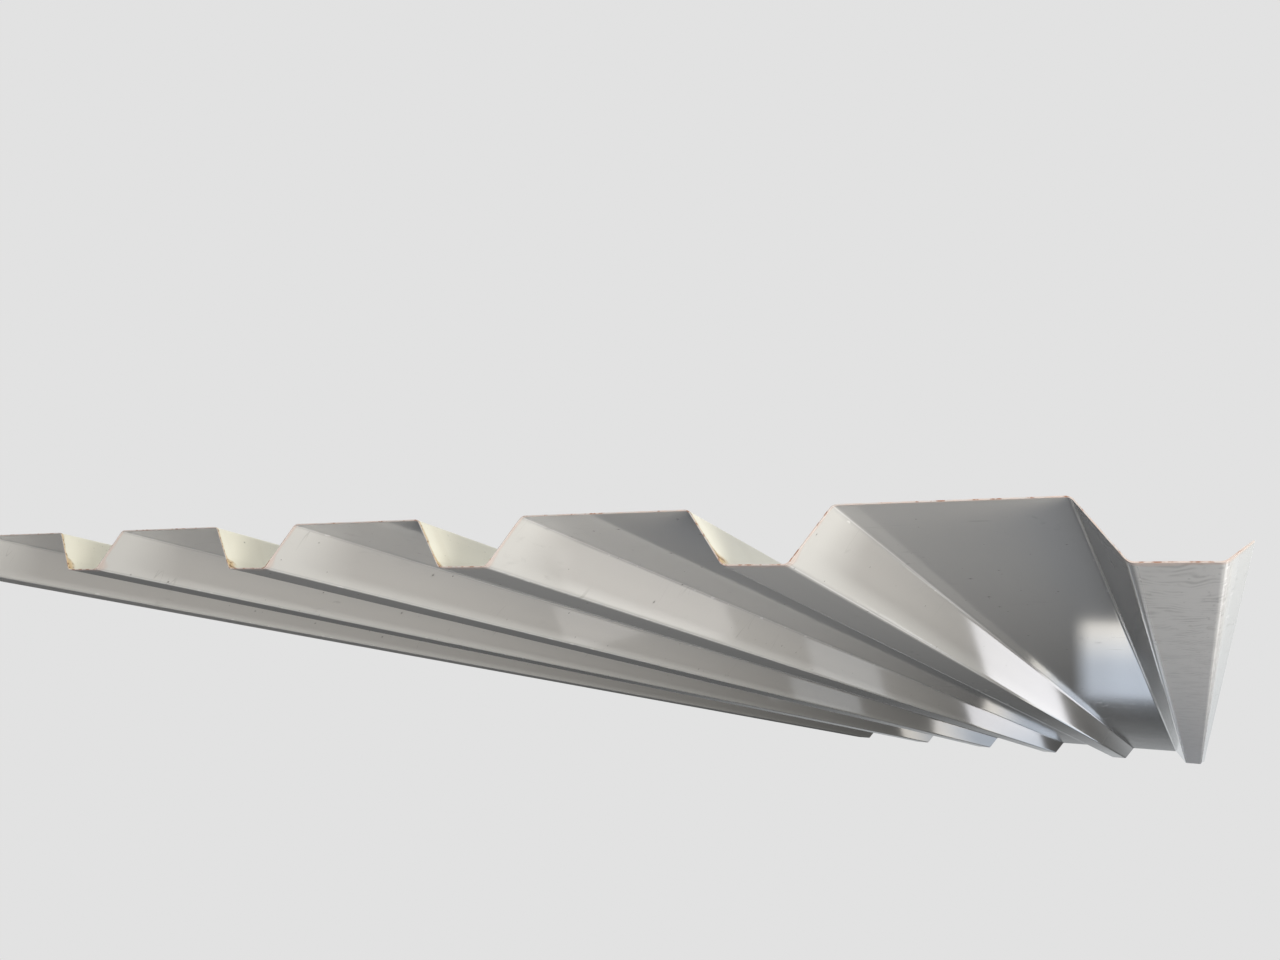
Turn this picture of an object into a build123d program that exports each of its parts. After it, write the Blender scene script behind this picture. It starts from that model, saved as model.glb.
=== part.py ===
from build123d import *
import os
from math import cos, radians, sin

# Trapezoidal metal sheet for roofs and walls, roll-formed from one flat strip of coated steel.
# Seen on its end it is a row of wide crests and narrow valleys joined by sloping webs, with a
# short lip turned up along each side edge. The sheet lies on its valleys, crests up.
# X runs across the sheet, Y along it and Z up. The origin is the middle of its underside.
# All lengths are in millimetres.

# Driving dimensions
PITCH = 200.0  # from the middle of one crest to the middle of the next
PITCH_COUNT = 5  # crests across the sheet, so that it covers five pitches
LENGTH = 3000.0  # as cut to stock length
THICKNESS = 0.7  # the same in the flats and round the bends
DEPTH = 32.0  # from the underside of a valley to the underside of a crest
CREST_FLAT = 115.0  # width of a crest between the corners where its faces would meet
VALLEY_FLAT = 38.0  # width of a valley between the same corners
BEND_RADIUS = 4.5  # on the inside of every bend
LIP_LENGTH = 14.5  # from the last valley's corner to the side edge, along the slope
LIP_ANGLE = 39.5  # between the lip and the level, in degrees


def flat(middle, width, height):
    """The left and right corners of one level flat of the underside."""
    return [(middle - width / 2, height), (middle + width / 2, height)]


def underside_corners():
    """The corners of the underside, from the tip of the left lip to the tip of the right lip."""
    valleys = [(number - PITCH_COUNT / 2) * PITCH for number in range(PITCH_COUNT + 1)]
    corners = flat(valleys[0], VALLEY_FLAT, 0)
    for valley in valleys[1:]:
        corners += flat(valley - PITCH / 2, CREST_FLAT, DEPTH)
        corners += flat(valley, VALLEY_FLAT, 0)
    lip_run = LIP_LENGTH * cos(radians(LIP_ANGLE))
    lip_rise = LIP_LENGTH * sin(radians(LIP_ANGLE))
    left_tip = (corners[0][0] - lip_run, lip_rise)
    right_tip = (corners[-1][0] + lip_run, lip_rise)
    return [left_tip, *corners, right_tip]


def underside_radius(corner):
    """The underside is the outside of a valley's bends and the inside of a crest's."""
    return BEND_RADIUS if corner[1] > 0 else BEND_RADIUS + THICKNESS


def rolled_section():
    """The strip on its end: the underside with its bends, and the same line one thickness above."""
    corners = underside_corners()
    with BuildSketch(Plane.XZ) as section:
        with BuildLine():
            FilletPolyline(*corners, radius=[underside_radius(corner) for corner in corners[1:-1]])
            offset(amount=THICKNESS, side=Side.LEFT)
        make_face()
    return section.sketch


# The section is carried along the whole length, half of it on each side of the middle.
sheet = extrude(rolled_section(), amount=LENGTH / 2, both=True)

os.makedirs("parts", exist_ok=True)
export_step(sheet, "parts/sheet.step")
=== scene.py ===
import bpy
from math import radians
from mathutils import Euler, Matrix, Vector


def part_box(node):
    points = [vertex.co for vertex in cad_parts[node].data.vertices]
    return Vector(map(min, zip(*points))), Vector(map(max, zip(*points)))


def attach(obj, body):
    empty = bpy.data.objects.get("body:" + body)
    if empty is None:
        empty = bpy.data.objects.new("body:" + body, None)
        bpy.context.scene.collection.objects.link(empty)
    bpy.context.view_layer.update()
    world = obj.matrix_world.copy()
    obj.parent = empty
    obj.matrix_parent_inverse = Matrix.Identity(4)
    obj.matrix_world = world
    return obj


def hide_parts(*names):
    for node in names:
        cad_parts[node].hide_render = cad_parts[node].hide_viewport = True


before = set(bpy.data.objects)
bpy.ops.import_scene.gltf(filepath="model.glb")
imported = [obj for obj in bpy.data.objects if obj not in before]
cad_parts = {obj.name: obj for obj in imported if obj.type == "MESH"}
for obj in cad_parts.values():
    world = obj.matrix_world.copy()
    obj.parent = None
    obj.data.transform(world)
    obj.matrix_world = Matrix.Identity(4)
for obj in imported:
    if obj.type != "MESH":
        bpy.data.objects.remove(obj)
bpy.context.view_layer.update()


# The camera. It stands half a metre off the sheet's near end, close to the sheet's right side and a hand's
# width lower than it, and looks up along the corrugations at the underside.
CAMERA_PLACE = (0.5026, -1.9855, -0.0990)  # in metres, as every length here but the lens's
CAMERA_TILT = radians(105.14)  # a quarter turn is level, and more looks up
CAMERA_ROLL = radians(-5.17)
CAMERA_TURN = radians(28.40)  # to the left of the sheet's length
CAMERA_LENS = 27.65  # in millimetres, on the usual 36 mm wide sensor
NEAREST_SEEN = 0.01

eye = bpy.data.objects.new("camera", bpy.data.cameras.new("camera"))
eye.data.lens = CAMERA_LENS
eye.data.clip_start = NEAREST_SEEN
eye.location = CAMERA_PLACE
eye.rotation_euler = Euler((CAMERA_TILT, CAMERA_ROLL, CAMERA_TURN))
bpy.context.scene.collection.objects.link(eye)
bpy.context.scene.camera = eye


# The sheet. It is a flat strip of thin steel, galvanised and painted on both sides as a coil, run through
# rollers that fold it into five wide crests between six narrow valleys, and sheared off at its length.
# The lengthwise edges are turned up as short lips, which hook over the next sheet's.
sheet_low, sheet_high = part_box("sheet")
LENGTH = sheet_high[1] - sheet_low[1]
THICKNESS = 0.0007
DEPTH = sheet_high[2] - THICKNESS  # from the underside of a valley to the underside of a crest
PITCH = 0.200  # from the middle of one crest to the middle of the next
PITCH_COUNT = 5
CREST_FLAT = 0.115  # between the corners where the faces would meet if nothing were rounded
VALLEY_FLAT = 0.038  # between the same corners
BEND_RADIUS = 0.0045  # on the inside of every bend
LIP_LENGTH = 0.0145  # from the last valley's corner to the side edge, along the slope
LIP_ANGLE = radians(39.5)  # between the lip and the level
BEND_STEPS = 8  # facets round one bend
FLAT_STEP = 0.008  # from one column of facets to the next, in the flats
BESIDE_BEND = 0.0006  # from a bend to the nearest such column
ROWS = 110  # of facets along the length, closest together at the cut ends
WAVE_HEIGHT = 0.00012  # how far the flats draw in between the folds
WAVE_LENGTH = 0.30  # along the sheet, and three times as long as the waves are across it
LIP_WAVE = 0.0003  # how far the free side edges wander in
WAVE_SEED = 3.0


class Wire:
    """One output of a node, to reckon with as if it were a number."""

    def __init__(self, tree, socket):
        self.tree = tree
        self.socket = socket

    def __add__(self, other):
        return maths("ADD", self, other)

    def __sub__(self, other):
        return maths("SUBTRACT", self, other)

    def __rsub__(self, other):
        return maths("SUBTRACT", other, self)

    def __mul__(self, other):
        return maths("MULTIPLY", self, other)

    def __truediv__(self, other):
        return maths("DIVIDE", self, other)

    def __rtruediv__(self, other):
        return maths("DIVIDE", other, self)

    def __gt__(self, other):
        return maths("GREATER_THAN", self, other)

    def __lt__(self, other):
        return maths("LESS_THAN", self, other)

    __radd__ = __add__
    __rmul__ = __mul__


def plug(socket, value):
    """Joins another node's output to the socket, or writes a plain value into it."""
    if isinstance(value, Wire):
        value.tree.links.new(value.socket, socket)
    elif socket.type == "RGBA":
        socket.default_value = (*value, 1)
    else:
        socket.default_value = value


def add_node(tree, kind, inputs=None, **settings):
    """A new node. Inputs are named by their labels or their places in the list."""
    node = tree.nodes.new(kind)
    for name, value in settings.items():
        setattr(node, name, value)
    for name, value in (inputs or {}).items():
        plug(node.inputs[name], value)
    return node


def wire_from(tree, kind, output=0, inputs=None, **settings):
    """One output of a new node, named by its label or its place in the list."""
    return Wire(tree, add_node(tree, kind, inputs, **settings).outputs[output])


def maths(operation, *values):
    """The result of a maths node. At least one of the values is a wire."""
    tree = next(value.tree for value in values if isinstance(value, Wire))
    return wire_from(tree, "ShaderNodeMath", 0, dict(enumerate(values)), operation=operation)


def size_of(value):
    """The value without its sign."""
    return maths("ABSOLUTE", value)


def joined(tree, x, y, z=0.0):
    """A vector from its three parts."""
    return wire_from(tree, "ShaderNodeCombineXYZ", 0, {0: x, 1: y, 2: z})


def parted(vector):
    """The three parts of a vector."""
    node = add_node(vector.tree, "ShaderNodeSeparateXYZ", {0: vector})
    return [Wire(vector.tree, output) for output in node.outputs]


def scaled(tree, vector, factor):
    """The vector or colour, multiplied."""
    return wire_from(tree, "ShaderNodeVectorMath", 0, {0: vector, "Scale": factor}, operation="SCALE")


def corner_line(tree, size):
    """The corners of the underside on one spline, from the left lip's tip to the right lip's tip."""
    count = size["Pitch Count"]
    line = wire_from(tree, "GeometryNodeCurvePrimitiveLine")
    line = wire_from(
        tree, "GeometryNodeResampleCurve", 0, {"Curve": line, "Count": count * 4 + 4}, mode="COUNT"
    )

    # Between the tips, each pitch has two corners in its valley and then two on its crest. The last valley
    # has no crest after it.
    index = wire_from(tree, "GeometryNodeInputIndex")
    step = maths("MINIMUM", maths("MAXIMUM", index - 1, 0.0), count * 4 + 1)
    number = maths("FLOOR", step / 4)
    part = step - number * 4
    on_crest = part > 1.5
    side = maths("MODULO", part, 2.0) * 2 - 1
    half_flat = (size["Valley Flat"] + on_crest * (size["Crest Flat"] - size["Valley Flat"])) / 2
    left_tip = index < 0.5
    right_tip = index > count * 4 + 2.5
    lip_run = size["Lip Length"] * maths("COSINE", size["Lip Angle"])
    lip_rise = size["Lip Length"] * maths("SINE", size["Lip Angle"])
    x = (number - count / 2 + on_crest / 2) * size["Pitch"] + side * half_flat
    x = x + (right_tip - left_tip) * lip_run
    z = on_crest * size["Depth"] + (right_tip + left_tip) * lip_rise
    corners = joined(tree, x, 0.0, z)
    line = wire_from(tree, "GeometryNodeSetPosition", 0, {"Geometry": line, "Position": corners})
    radius = size["Bend Radius"] + (1 - on_crest) * size["Thickness"]
    bent = {"Curve": line, "Count": BEND_STEPS, "Radius": radius}
    return wire_from(tree, "GeometryNodeFilletCurve", 0, bent, mode="POLY")


def gap(tree, first, last):
    """The length along a spline between two of its points, each so many places after the current one."""
    index = wire_from(tree, "GeometryNodeInputIndex")
    run = wire_from(tree, "GeometryNodeSplineParameter", "Length")
    ends = [
        wire_from(tree, "GeometryNodeFieldAtIndex", 0, {"Index": index + place, "Value": run})
        for place in (first, last)
    ]
    return ends[1] - ends[0]


def drawn_to_bends(tree, section):
    """The section, with the outermost points of each flat moved close to its bends, to shade flat."""
    index = wire_from(tree, "GeometryNodeInputIndex")
    here = wire_from(tree, "GeometryNodeInputPosition")
    for side in -1, 1:
        first_gap = gap(tree, *sorted((0, side)))
        next_gap = gap(tree, *sorted((side, side * 2)))
        bend_follows = (next_gap > BEND_RADIUS / 100) * (next_gap < BEND_RADIUS / 4)
        outermost = (first_gap > FLAT_STEP / 3) * bend_follows
        inputs = {"Index": index + side, "Value": here}
        bend = wire_from(tree, "GeometryNodeFieldAtIndex", 0, inputs, data_type="FLOAT_VECTOR")
        share = outermost * (1 - BESIDE_BEND / maths("MAXIMUM", first_gap, BESIDE_BEND))
        x, _, z = parted(here)
        bend_x, _, bend_z = parted(bend)
        place = joined(tree, x + (bend_x - x) * share, 0.0, z + (bend_z - z) * share)
        section = wire_from(tree, "GeometryNodeSetPosition", 0, {"Geometry": section, "Position": place})
    return section


def remembered(tree, geometry, name, value, kind):
    """The geometry with a value kept at each of its points, for the materials to read."""
    inputs = {"Geometry": geometry, "Name": name, "Value": value}
    return wire_from(tree, "GeometryNodeStoreNamedAttribute", 0, inputs, data_type=kind, domain="POINT")


def rolled_sheet_tree():
    """The sheet as it comes from the rollers: a strip that follows the section, with its thickness."""
    tree = bpy.data.node_groups.new("rolled_sheet", "GeometryNodeTree")
    for label, kind in {
        "Pitch": "Float",
        "Pitch Count": "Int",
        "Depth": "Float",
        "Crest Flat": "Float",
        "Valley Flat": "Float",
        "Thickness": "Float",
        "Bend Radius": "Float",
        "Lip Length": "Float",
        "Lip Angle": "Float",
        "Length": "Float",
        "Rows": "Int",
        "Wave Height": "Float",
        "Wave Length": "Float",
        "Lip Wave": "Float",
        "Seed": "Float",
        "Backing Coat": "Material",
        "Weather Coat": "Material",
        "Cut Edge": "Material",
    }.items():
        tree.interface.new_socket(label, in_out="INPUT", socket_type="NodeSocket" + kind)
    tree.interface.new_socket("Sheet", in_out="OUTPUT", socket_type="NodeSocketGeometry")
    given = tree.nodes.new("NodeGroupInput").outputs
    size = {socket.name: Wire(tree, socket) for socket in given if socket.name}

    section = corner_line(tree, size)
    cuts = maths("MAXIMUM", maths("FLOOR", gap(tree, 0, 1) / FLAT_STEP), 0.0)
    section = wire_from(tree, "GeometryNodeSubdivideCurve", 0, {"Curve": section, "Cuts": cuts})
    section = drawn_to_bends(tree, section)
    _, _, rise = parted(wire_from(tree, "GeometryNodeInputTangent"))
    columns = wire_from(
        tree, "GeometryNodeAttributeDomainSize", "Point Count", {"Geometry": section}, component="CURVE"
    )
    flat = {"Size X": 1.0, "Size Y": 1.0, "Vertices X": columns, "Vertices Y": size["Rows"]}
    strip = wire_from(tree, "GeometryNodeMeshGrid", "Mesh", flat)
    index = wire_from(tree, "GeometryNodeInputIndex")
    column = maths("FLOOR", (index + 0.5) / size["Rows"])
    row = index - column * size["Rows"]

    def on_section(value, kind):
        """What the section has at this column."""
        inputs = {"Geometry": section, "Value": value, "Index": column}
        return wire_from(tree, "GeometryNodeSampleIndex", 0, inputs, data_type=kind, domain="POINT")

    place = on_section(wire_from(tree, "GeometryNodeInputPosition"), "FLOAT_VECTOR")
    across = on_section(wire_from(tree, "GeometryNodeSplineParameter", "Length"), "FLOAT")
    steepness = on_section(size_of(rise), "FLOAT")
    step = row / (size["Rows"] - 1) * 2 - 1
    along = size["Length"] * step * (1.5 - step * step * 0.5) / 2
    x, _, z = parted(place)

    # The flats draw in a little between the folds, and the free side edges wander.
    spot = joined(tree, x * 3 / size["Wave Length"], along / size["Wave Length"])
    noise = {"Vector": spot, "W": size["Seed"], "Scale": 1.0, "Detail": 1.0}
    swell = wire_from(tree, "ShaderNodeTexNoise", 0, noise, noise_dimensions="4D")
    swell = maths("MAXIMUM", swell - 0.25, 0.0) * 2
    middle = size["Depth"] / 2
    past_fold = size_of(x) - (size["Pitch"] * size["Pitch Count"] + size["Valley Flat"]) / 2
    up_lip = maths("MAXIMUM", past_fold / size["Lip Length"], 0.0)
    x = x - maths("SIGN", x) * up_lip * size["Lip Wave"] * swell
    z = z + (middle - z) / middle * size["Wave Height"] * swell
    moved = {"Geometry": strip, "Position": joined(tree, x, along, z)}
    strip = wire_from(tree, "GeometryNodeSetPosition", 0, moved)
    strip = remembered(tree, strip, "strip", joined(tree, across, along), "FLOAT_VECTOR")
    strip = remembered(tree, strip, "steepness", steepness, "FLOAT")

    # The strip is the underside. Pushed up through its thickness, it leaves the top and the cut edges.
    up = scaled(tree, wire_from(tree, "GeometryNodeInputNormal"), size["Thickness"])
    raised = add_node(
        tree,
        "GeometryNodeExtrudeMesh",
        {"Mesh": strip, "Offset": up, "Offset Scale": 1.0, "Individual": False},
        mode="FACES",
    )
    top, rim = Wire(tree, raised.outputs["Top"]), Wire(tree, raised.outputs["Side"])
    underside = wire_from(tree, "GeometryNodeFlipFaces", 0, {"Mesh": strip})
    both = add_node(tree, "GeometryNodeJoinGeometry")
    tree.links.new(underside.socket, both.inputs[0])
    tree.links.new(raised.outputs["Mesh"], both.inputs[0])
    touching = {"Geometry": Wire(tree, both.outputs[0]), "Distance": size["Thickness"] / 50}
    shell = wire_from(tree, "GeometryNodeMergeByDistance", 0, touching)
    smooth = {"Geometry": shell, "Shade Smooth": 1 - rim}
    shell = wire_from(tree, "GeometryNodeSetShadeSmooth", 0, smooth)
    shell = wire_from(tree, "GeometryNodeRealizeInstances", 0, {"Geometry": shell})
    for label, faces in ("Backing Coat", True), ("Weather Coat", top), ("Cut Edge", rim):
        finish = {"Geometry": shell, "Selection": faces, "Material": size[label]}
        shell = wire_from(tree, "GeometryNodeSetMaterial", 0, finish)
    out = tree.nodes.new("NodeGroupOutput")
    plug(out.inputs["Sheet"], shell)
    return tree


def grown(name, tree, values):
    """A plain mesh object made by the node tree with these values for its inputs."""
    carrier = bpy.data.objects.new(name + "_carrier", bpy.data.meshes.new(name + "_carrier"))
    bpy.context.scene.collection.objects.link(carrier)
    modifier = carrier.modifiers.new(name, "NODES")
    modifier.node_group = tree
    for socket in tree.interface.items_tree:
        if socket.in_out == "INPUT":
            modifier[socket.identifier] = values[socket.name]
    evaluated = carrier.evaluated_get(bpy.context.evaluated_depsgraph_get())
    mesh = bpy.data.meshes.new_from_object(evaluated)
    mesh.materials.pop(index=0)  # the carrier's own, which is empty
    carrier.modifiers.remove(modifier)
    bpy.data.objects.remove(carrier)
    made = bpy.data.objects.new(name, mesh)
    bpy.context.scene.collection.objects.link(made)
    return made


def spread(vector, x, y, z=1.0):
    """The coordinates multiplied, so that a texture has that many features a metre each way."""
    inputs = {0: vector, 1: (x, y, z)}
    return wire_from(vector.tree, "ShaderNodeVectorMath", 0, inputs, operation="MULTIPLY")


def clouds(where, detail, seed, wander=0.0):
    """Soft noise about a half."""
    inputs = {"Vector": where, "W": seed, "Scale": 1.0, "Detail": detail, "Distortion": wander}
    return wire_from(where.tree, "ShaderNodeTexNoise", 0, inputs, noise_dimensions="4D")


def between(value, low, high):
    """Rises smoothly from nought at low to one at high, or falls where low is the larger."""
    inputs = {"Value": value, "From Min": low, "From Max": high}
    return wire_from(value.tree, "ShaderNodeMapRange", 0, inputs, interpolation_type="SMOOTHSTEP")


def painted_over(share, under, over):
    """The colour under, with that share of the colour over laid on it."""
    return wire_from(share.tree, "ShaderNodeMix", 2, {0: share, 6: under, 7: over}, data_type="RGBA")


def specks(where, share, smallest, largest, seed, solid=0.7):
    """One on small round specks, which only that share of the unit cells has. Sizes are in cells.

    Each is at its fullest over the solid share of its radius and fades out from there."""
    inputs = {0: where, 1: (seed, seed, 0.0)}
    moved = wire_from(where.tree, "ShaderNodeVectorMath", 0, inputs, operation="ADD")
    inputs = {"Vector": moved, "Scale": 1.0, "Randomness": 0.9}
    cells = add_node(where.tree, "ShaderNodeTexVoronoi", inputs, voronoi_dimensions="2D")
    chance, size, _ = parted(Wire(where.tree, cells.outputs["Color"]))
    reach = (smallest + size * size * (largest - smallest)) / 2
    return between(Wire(where.tree, cells.outputs["Distance"]) / reach, 1.0, solid) * (chance < share)


def coil_finish(name):
    """A new material, its shader, the coordinates on the flat strip and those on the folded sheet."""
    material = bpy.data.materials.new(name)
    material.use_nodes = True
    shader = material.node_tree.nodes["Principled BSDF"]
    strip = wire_from(material.node_tree, "ShaderNodeAttribute", "Vector", attribute_name="strip")
    place = wire_from(material.node_tree, "ShaderNodeTexCoord", "Object")
    return material, shader, strip, place


def raised_by(shader, height, strength, distance):
    """Gives the shader a fine relief, as deep as the distance where the height is one."""
    inputs = {"Strength": strength, "Distance": distance, "Height": height}
    plug(shader.inputs["Normal"], wire_from(height.tree, "ShaderNodeBump", 0, inputs))


# The backing coat, a thin grey paint rolled on the underside of the strip before it is folded. Along each
# bend runs a painted highlight, a pale line, and the last rollers leave fine ripples across the side
# valleys. Rust has bled into it from the cut ends.
BACKING_GREY = (0.600, 0.592, 0.570)
# the pale grey of the scuffs, and of the painted highlight along the bends
SCUFF_AND_FOLD_HIGHLIGHT_GREY = (0.95, 0.94, 0.92)
GRIME = (0.10, 0.095, 0.085)
PALE_RUST = (0.60, 0.44, 0.37)
BACKING_ROUGHNESS = 0.04  # where the coat is smoothest
BACKING_RELIEF = 0.00004
MID_BEND = 0.45  # the steepness half-way round a bend
DIRT_LINE = 0.012  # the height above the undersides up to which the valleys are dirtier
SIDE_VALLEY = (PITCH * PITCH_COUNT - VALLEY_FLAT) / 2  # from the middle of the sheet to its last valleys
LIP_FOLD = SIDE_VALLEY + VALLEY_FLAT  # from the middle of the sheet to the foot of a lip
CHATTER_STEP = 0.0095  # from one of the rollers' ripples to the next


def backing_coat():
    """The material of the underside."""
    material, shader, strip, place = coil_finish("backing_coat")
    x, y, z = parted(place)
    _, along, _ = parted(strip)
    to_end = LENGTH / 2 - size_of(y)
    in_valley = between(z, DIRT_LINE, 0.001)
    steepness = wire_from(material.node_tree, "ShaderNodeAttribute", "Fac", attribute_name="steepness")

    # The paint is a little uneven and scuffed on the webs, with a painted highlight in pale grey along the
    # middle of each fold.
    patches = clouds(spread(strip, 9.0, 2.5), detail=3.0, seed=1.0)
    streaks = clouds(spread(strip, 90.0, 0.9), detail=2.0, seed=2.0)
    grain = clouds(spread(strip, 1100.0, 700.0), detail=1.0, seed=3.0)
    brightness = 0.92 + patches * 0.08 + streaks * 0.03 + grain * 0.05
    colour = scaled(material.node_tree, BACKING_GREY, brightness)
    fold = between(size_of(steepness - MID_BEND), 0.13, 0.04)
    # A painted highlight: a pale line along the middle of each bend, where the bend would catch the light.
    painted_fold_highlight = fold * between(streaks, 0.2, 0.6) * 0.7
    scuffs = specks(spread(strip, 200.0, 70.0), share=0.14, smallest=0.2, largest=0.8, seed=9.4)
    scuffs = scuffs * between(steepness, 0.10, 0.20) * between(steepness, 0.80, 0.70) * 0.5
    colour = painted_over(painted_fold_highlight + scuffs, colour, SCUFF_AND_FOLD_HIGHLIGHT_GREY)

    # Smears, most of them near the ends, and scratches.
    near_ends = between(to_end, 0.35, 0.02)
    smears = between(clouds(spread(strip, 150.0, 55.0), detail=3.0, seed=4.0, wander=0.6), 0.58, 0.76)
    smeared = clouds(spread(strip, 7.0, 6.0), detail=1.0, seed=5.0) + near_ends * 0.04
    smears = smears * between(smeared, 0.54, 0.68)
    colour = painted_over(smears * 0.22, colour, GRIME)
    contours = clouds(spread(strip, 12.0, 70.0), detail=1.0, seed=10.0)
    scratches = between(size_of(contours - 0.5), 0.006, 0.002)
    scratched = clouds(spread(strip, 20.0, 30.0), detail=1.0, seed=18.0)
    scratches = scratches * between(scratched, 0.60, 0.66)
    colour = painted_over(scratches * 0.20, colour, GRIME)

    # The ripples across the side valleys, and a mottled band beside each lip.
    side_valley = between(size_of(x), SIDE_VALLEY - 0.001, SIDE_VALLEY + 0.005) * between(z, 0.004, 0.001)
    sway = clouds(spread(strip, 34.0, 14.0), detail=2.0, seed=6.0)
    beat = maths("PINGPONG", along / CHATTER_STEP + sway * 8, 0.5)
    rippled = between(clouds(spread(strip, 60.0, 36.0), detail=2.0, seed=7.0), 0.42, 0.66)
    chatter = between(beat, 0.38, 0.04) * rippled * side_valley
    colour = painted_over(chatter * 0.36, colour, GRIME)
    beside_lip = between(size_of(x), LIP_FOLD - 0.012, LIP_FOLD - 0.005) * side_valley
    mottled = between(clouds(spread(strip, 300.0, 120.0), detail=2.0, seed=23.0), 0.56, 0.70)
    colour = painted_over(mottled * beside_lip * 0.35, colour, GRIME)

    # Dots of dirt, some of them with a halo, and then the rust.
    halos = specks(spread(strip, 42.0, 42.0), share=0.09, smallest=0.09, largest=0.30, seed=3.1, solid=0.0)
    colour = painted_over(halos * 0.25, colour, GRIME)
    dots = specks(spread(strip, 42.0, 42.0), share=0.26, smallest=0.03, largest=0.09, seed=3.1)
    colour = painted_over(dots * 0.7, colour, GRIME)
    reach = clouds(spread(strip, 70.0, 70.0), detail=4.0, seed=8.0) * (0.004 + in_valley * 0.012)
    bleed = between(to_end / (0.0008 + reach), 1.0, 0.2)
    colour = painted_over(bleed * 0.5, colour, PALE_RUST)
    plug(shader.inputs["Base Color"], colour)
    dulled = patches * 0.04 + side_valley * 0.25 + smears * 0.2 + bleed * 0.3
    plug(shader.inputs["Roughness"], BACKING_ROUGHNESS + dulled)
    texture = clouds(spread(strip, 600.0, 450.0), detail=1.0, seed=9.0) * 0.25
    raised_by(shader, texture + chatter, strength=0.4, distance=BACKING_RELIEF)
    return material


# The weather coat, a thicker cream paint rolled on the top of the strip before it is folded. Dust has
# settled on it, most of all in the valleys, with specks of mildew. Rust stains it from the cut ends.
WEATHER_CREAM = (0.650, 0.632, 0.535)
DUST = (0.50, 0.46, 0.37)
MILDEW = (0.15, 0.16, 0.12)
OCHRE = (0.42, 0.27, 0.10)
BROWN = (0.12, 0.055, 0.022)
WEATHER_ROUGHNESS = 0.30
WEATHER_RELIEF = 0.00005


def weather_coat():
    """The material of the top."""
    material, shader, strip, place = coil_finish("weather_coat")
    _, y, z = parted(place)
    to_end = LENGTH / 2 - size_of(y)
    in_valley = between(z, DIRT_LINE, 0.002)

    # The paint is a little uneven, with faint runs across it and dust in the valleys.
    patches = clouds(spread(strip, 8.0, 2.2), detail=3.0, seed=11.0)
    streaks = clouds(spread(strip, 120.0, 0.8), detail=2.0, seed=12.0)
    grain = clouds(spread(strip, 900.0, 900.0), detail=2.0, seed=13.0)
    brightness = 0.90 + patches * 0.10 + streaks * 0.05 + grain * 0.07
    colour = scaled(material.node_tree, WEATHER_CREAM, brightness)
    runs = between(clouds(spread(strip, 9.0, 55.0), detail=3.0, seed=19.0, wander=0.5), 0.50, 0.78)
    colour = painted_over(runs * 0.22, colour, DUST)
    dusty = between(clouds(spread(strip, 60.0, 5.0), detail=4.0, seed=14.0, wander=0.8), 0.40, 0.72)
    dusty = in_valley * dusty
    colour = painted_over(dusty * 0.5, colour, DUST)

    # Mildew, as patches of fine specks and as larger dots apart.
    mildewed = between(clouds(spread(strip, 14.0, 3.0), detail=3.0, seed=20.0), 0.44, 0.66)
    fine = specks(spread(strip, 240.0, 330.0), share=0.16, smallest=0.12, largest=0.45, seed=5.5)
    colour = painted_over(fine * mildewed * 0.45, colour, MILDEW)
    dots = specks(spread(strip, 48.0, 48.0), share=0.22, smallest=0.03, largest=0.10, seed=7.7)
    colour = painted_over(dots * 0.6, colour, MILDEW)

    # Rust stains with a brown crust, which reach further along the valleys.
    wander = clouds(spread(strip, 55.0, 40.0), detail=4.0, seed=15.0, wander=0.5)
    reach = 0.001 + between(wander, 0.35, 0.75) * (0.003 + in_valley * 0.024)
    stain = between(to_end / reach, 1.0, 0.15)
    colour = painted_over(stain * 0.75, colour, OCHRE)
    crusted = clouds(spread(strip, 260.0, 260.0), detail=3.0, seed=16.0)
    crust = stain * between(crusted, 0.50, 0.60)
    colour = painted_over(crust * 0.8, colour, BROWN)
    plug(shader.inputs["Base Color"], colour)
    dulled = patches * 0.10 + dusty * 0.25 + stain * 0.3
    plug(shader.inputs["Roughness"], WEATHER_ROUGHNESS + dulled)
    texture = clouds(spread(strip, 700.0, 700.0), detail=2.0, seed=17.0)
    raised_by(shader, texture + crust * 2, strength=0.3, distance=WEATHER_RELIEF)
    return material


# The cut edge, bare steel at the sheared ends and along the slit sides. It has no paint and little zinc, so
# it has tarnished to a pinkish grey, and rust has started on the sheared ends.
BARE_STEEL = (0.60, 0.56, 0.535)
PINKISH_STEEL = (0.60, 0.485, 0.43)
RUST = (0.30, 0.13, 0.07)
EDGE_METALLIC = 0.30
EDGE_ROUGHNESS = 0.55
EDGE_DIRT_LINE = 0.014  # the height up to which the valleys' edges rust and tarnish more
SHEARED_DEPTH = 0.004  # how far from the sheared ends rust reaches along the slit sides


def cut_edge():
    """The material of the edges."""
    material, shader, _, place = coil_finish("cut_edge")
    _, y, z = parted(place)
    in_valley = between(z, EDGE_DIRT_LINE, 0.001)
    sheared = between(LENGTH / 2 - size_of(y), SHEARED_DEPTH, 0.0)
    tarnish = clouds(spread(place, 90.0, 30.0, 90.0), detail=3.0, seed=21.0)
    pinkish = between(tarnish + in_valley * 0.06, 0.42, 0.60)
    colour = painted_over(pinkish * 0.8, BARE_STEEL, PINKISH_STEEL)
    flecks = clouds(spread(place, 200.0, 60.0, 200.0), detail=3.0, seed=22.0)
    rusty = between(flecks + in_valley * 0.06, 0.54, 0.66) * sheared
    colour = painted_over(rusty * 0.85, colour, RUST)
    plug(shader.inputs["Base Color"], colour)
    plug(shader.inputs["Metallic"], EDGE_METALLIC - pinkish * 0.25)
    plug(shader.inputs["Roughness"], EDGE_ROUGHNESS)
    return material


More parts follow.
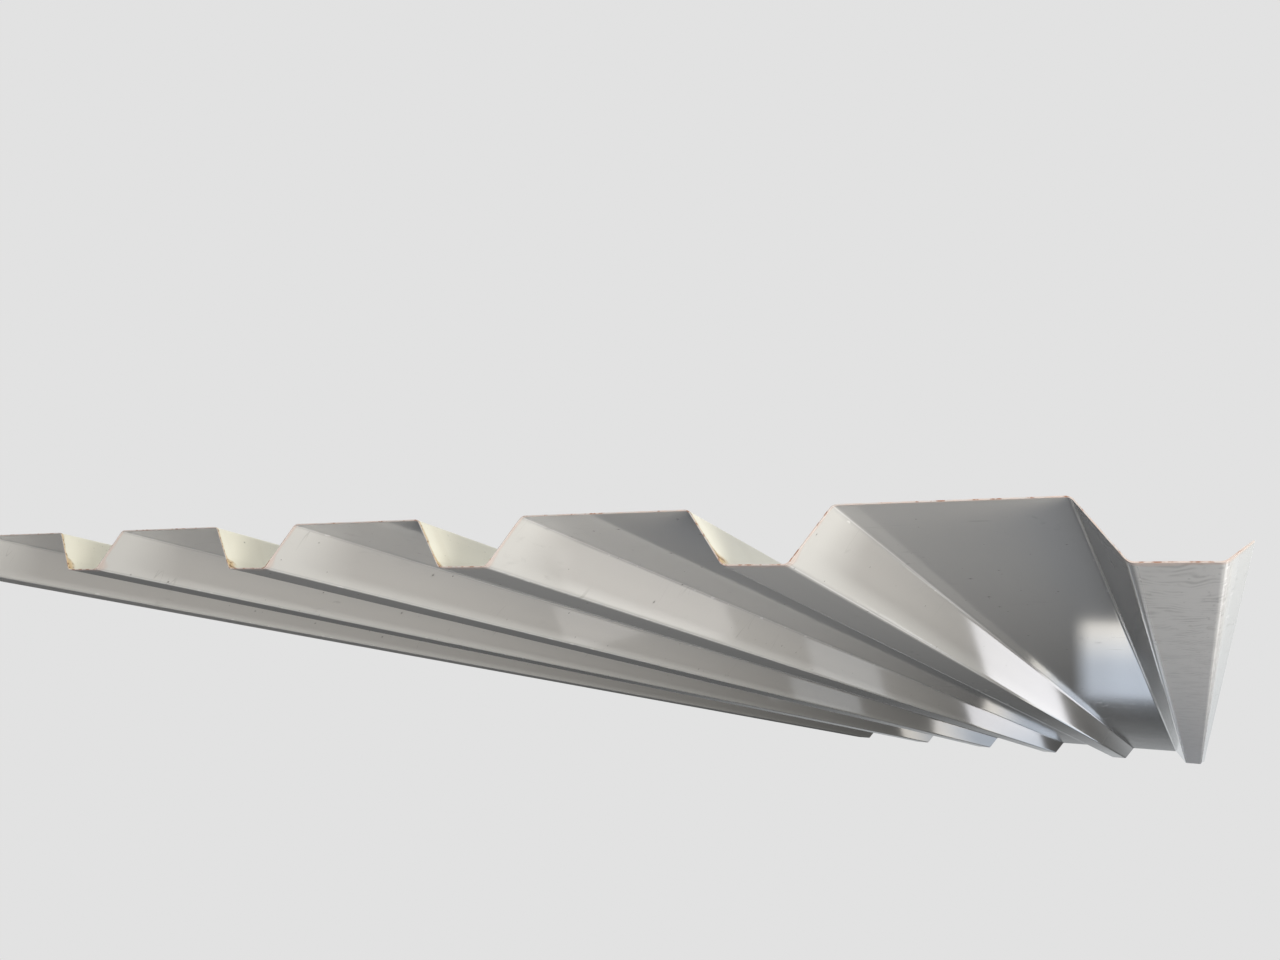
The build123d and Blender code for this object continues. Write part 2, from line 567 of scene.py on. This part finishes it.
rolled_sheet = grown(
    "rolled_sheet",
    rolled_sheet_tree(),
    {
        "Pitch": PITCH,
        "Pitch Count": PITCH_COUNT,
        "Depth": DEPTH,
        "Crest Flat": CREST_FLAT,
        "Valley Flat": VALLEY_FLAT,
        "Thickness": THICKNESS,
        "Bend Radius": BEND_RADIUS,
        "Lip Length": LIP_LENGTH,
        "Lip Angle": LIP_ANGLE,
        "Length": LENGTH,
        "Rows": ROWS,
        "Wave Height": WAVE_HEIGHT,
        "Wave Length": WAVE_LENGTH,
        "Lip Wave": LIP_WAVE,
        "Seed": WAVE_SEED,
        "Backing Coat": backing_coat(),
        "Weather Coat": weather_coat(),
        "Cut Edge": cut_edge(),
    },
)
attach(rolled_sheet, "root")
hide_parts("sheet")


# The studio: a pale floor under the sheet, soft lamps low in front on the right, others beyond the far end
# that show in the sheet's coat, and soft light from above. The floor is drawn from above only, because the
# camera looks at the sheet's underside through it.
FLOOR_DROP = 0.0004
FLOOR_SIZE = 60.0
FLOOR_PALE = (0.80, 0.80, 0.79)
WHITE = (1.0, 1.0, 1.0)

bpy.ops.mesh.primitive_plane_add(size=FLOOR_SIZE, location=(0, 0, -FLOOR_DROP))
floor = bpy.context.object
floor.name = "floor"
floor.visible_diffuse = False
floor.visible_glossy = False
floor.visible_transmission = False
floor.visible_shadow = False
material = bpy.data.materials.new("floor")
material.use_nodes = True
tree = material.node_tree
tree.nodes.clear()
pale = wire_from(tree, "ShaderNodeBsdfDiffuse", 0, {"Color": FLOOR_PALE})
clear = wire_from(tree, "ShaderNodeBsdfTransparent")
from_below = wire_from(tree, "ShaderNodeNewGeometry", "Backfacing")
one_sided = wire_from(tree, "ShaderNodeMixShader", 0, {0: from_below, 1: pale, 2: clear})
add_node(tree, "ShaderNodeOutputMaterial", {"Surface": one_sided})
floor.data.materials.append(material)


def aimed(name, data, place, aim):
    """Puts the lamp at a place, turned to face another."""
    lamp = bpy.data.objects.new(name, data)
    lamp.location = place
    lamp.rotation_euler = (Vector(aim) - Vector(place)).to_track_quat("-Z", "Y").to_euler()
    lamp.visible_camera = False
    bpy.context.scene.collection.objects.link(lamp)


def soft_panel(name, place, aim, width, height, power, colour):
    """An oblong lamp with an even face, of so many watts."""
    data = bpy.data.lights.new(name, "AREA")
    data.shape = "RECTANGLE"
    data.size = width
    data.size_y = height
    data.energy = power
    data.color = colour
    aimed(name, data, place, aim)
    return data


def soft_sky(name, place, spread_angle, strength):
    """White light as from a wide disc of sky, from that side of the sheet."""
    data = bpy.data.lights.new(name, "SUN")
    data.angle = radians(spread_angle)
    data.energy = strength
    data.color = WHITE
    aimed(name, data, place, (0, 0, 0))


# Three lamps low in front light the underside, and the level one reaches the near ends of the webs. The
# next three stand beyond the far end, where the coat mirrors them.
soft_panel(
    "side_lamp",
    place=(2.0, -2.6, -0.6),
    aim=(0.0, -1.2, 0.0),
    width=1.2,
    height=0.8,
    power=28.0,
    colour=(1.0, 0.90, 0.75),
)
soft_panel(
    "level_lamp",
    place=(2.2, -2.15, -0.06),
    aim=(0.2, -1.45, 0.0),
    width=0.85,
    height=0.12,
    power=23.7,
    colour=(0.98, 1.0, 0.975),
)
soft_panel(
    "low_lamp",
    place=(1.3, -2.1, -1.2),
    aim=(0.3, -1.3, 0.0),
    width=1.0,
    height=1.0,
    power=16.5,
    colour=(0.90, 0.93, 1.0),
)
soft_panel(
    "ground_lamp",
    place=(2.2, 5.0, -3.0),
    aim=(0.12, -1.35, 0.0),
    width=1.1,
    height=1.2,
    power=4.1,
    colour=(1.0, 0.97, 0.94),
)
soft_panel(
    "web_lamp",
    place=(1.15, 5.0, -1.53),
    aim=(1.15, -1.0, -1.53),
    width=1.1,
    height=0.46,
    power=0.8,
    colour=(0.93, 0.96, 1.0),
)
far_lamp = soft_panel(
    "far_lamp",
    place=(1.48, 5.0, -0.637),
    aim=(1.48, -1.0, -0.637),
    width=3.30,
    height=0.484,
    power=4.35,
    colour=(0.916, 0.928, 1.0),
)
soft_sky("light_from_above", place=(-0.10, -0.50, 1.0), spread_angle=40, strength=2.4)
soft_sky("dome", place=(0.0, 0.0, 1.0), spread_angle=150, strength=0.8)

# The far lamp's face is uneven. Its left end shows in the crest nearest the camera, warm at the foot and
# cooler above. The rest shows in the web on that crest's left, starts a little higher and is of one colour.
FOOT_HUE = (1.0, 0.94, 0.80)
HEAD_HUE = (0.84, 0.93, 1.0)
RIGHT_HUE = (0.93, 0.915, 0.885)
FOOT_GLOW = 1.67
HEAD_GLOW = 0.83
RIGHT_GLOW = 1.99
RIGHT_RISE = 0.17  # of the lamp's height, dark at the foot of the right part

# Both coordinates go from nought to one, the first from the lamp's right edge to its left, as the camera
# has them, and the second from its foot to its head.
far_lamp.use_nodes = True
tree = far_lamp.node_tree
leftward, upward, _ = parted(wire_from(tree, "ShaderNodeNewGeometry", "Parametric"))
high = between(upward, 0.05, 0.65)
right_part = between(leftward, 0.88, 0.75)
inner = between(leftward, 0.96, 0.90)
hue = painted_over(right_part, painted_over(high, FOOT_HUE, HEAD_HUE), RIGHT_HUE)
glow = (1.0 + inner * 0.20) * (FOOT_GLOW - high * (FOOT_GLOW - HEAD_GLOW))
glow = glow + (RIGHT_GLOW - glow) * right_part
foot_edge = between(upward - right_part * RIGHT_RISE, -0.01, 0.03)
left_edge = between(leftward, 1.0, 0.955)
plug(tree.nodes["Emission"].inputs["Color"], hue)
plug(tree.nodes["Emission"].inputs["Strength"], glow * foot_edge * left_edge)

# The world is a pale backdrop to the camera. What mirrors it sees a pale sky over dark ground, and it adds
# only a little light of its own.
BACKDROP = 0.76
MIRRORED_SKY = 0.74
MIRRORED_GROUND = 0.07
OWN_LIGHT = 0.05
SKY_TINT = (0.95, 0.98, 1.0)

world = bpy.data.worlds.new("studio")
bpy.context.scene.world = world
world.use_nodes = True
tree = world.node_tree
tree.nodes.clear()
path = add_node(tree, "ShaderNodeLightPath")
seen = Wire(tree, path.outputs["Is Camera Ray"])
mirrored = Wire(tree, path.outputs["Is Glossy Ray"]) + Wire(tree, path.outputs["Is Transmission Ray"])
mirrored = maths("MINIMUM", mirrored, 1.0)
_, _, rise = parted(wire_from(tree, "ShaderNodeTexCoord", "Generated"))
reflection = MIRRORED_GROUND + between(rise, -0.065, -0.005) * (MIRRORED_SKY - MIRRORED_GROUND)
strength = OWN_LIGHT + seen * (BACKDROP - OWN_LIGHT) + mirrored * (reflection - OWN_LIGHT)
tint = painted_over(seen, SKY_TINT, WHITE)
sky = wire_from(tree, "ShaderNodeBackground", 0, {"Color": tint, "Strength": strength})
add_node(tree, "ShaderNodeOutputWorld", {"Surface": sky})

bpy.context.scene.view_settings.view_transform = "Standard"
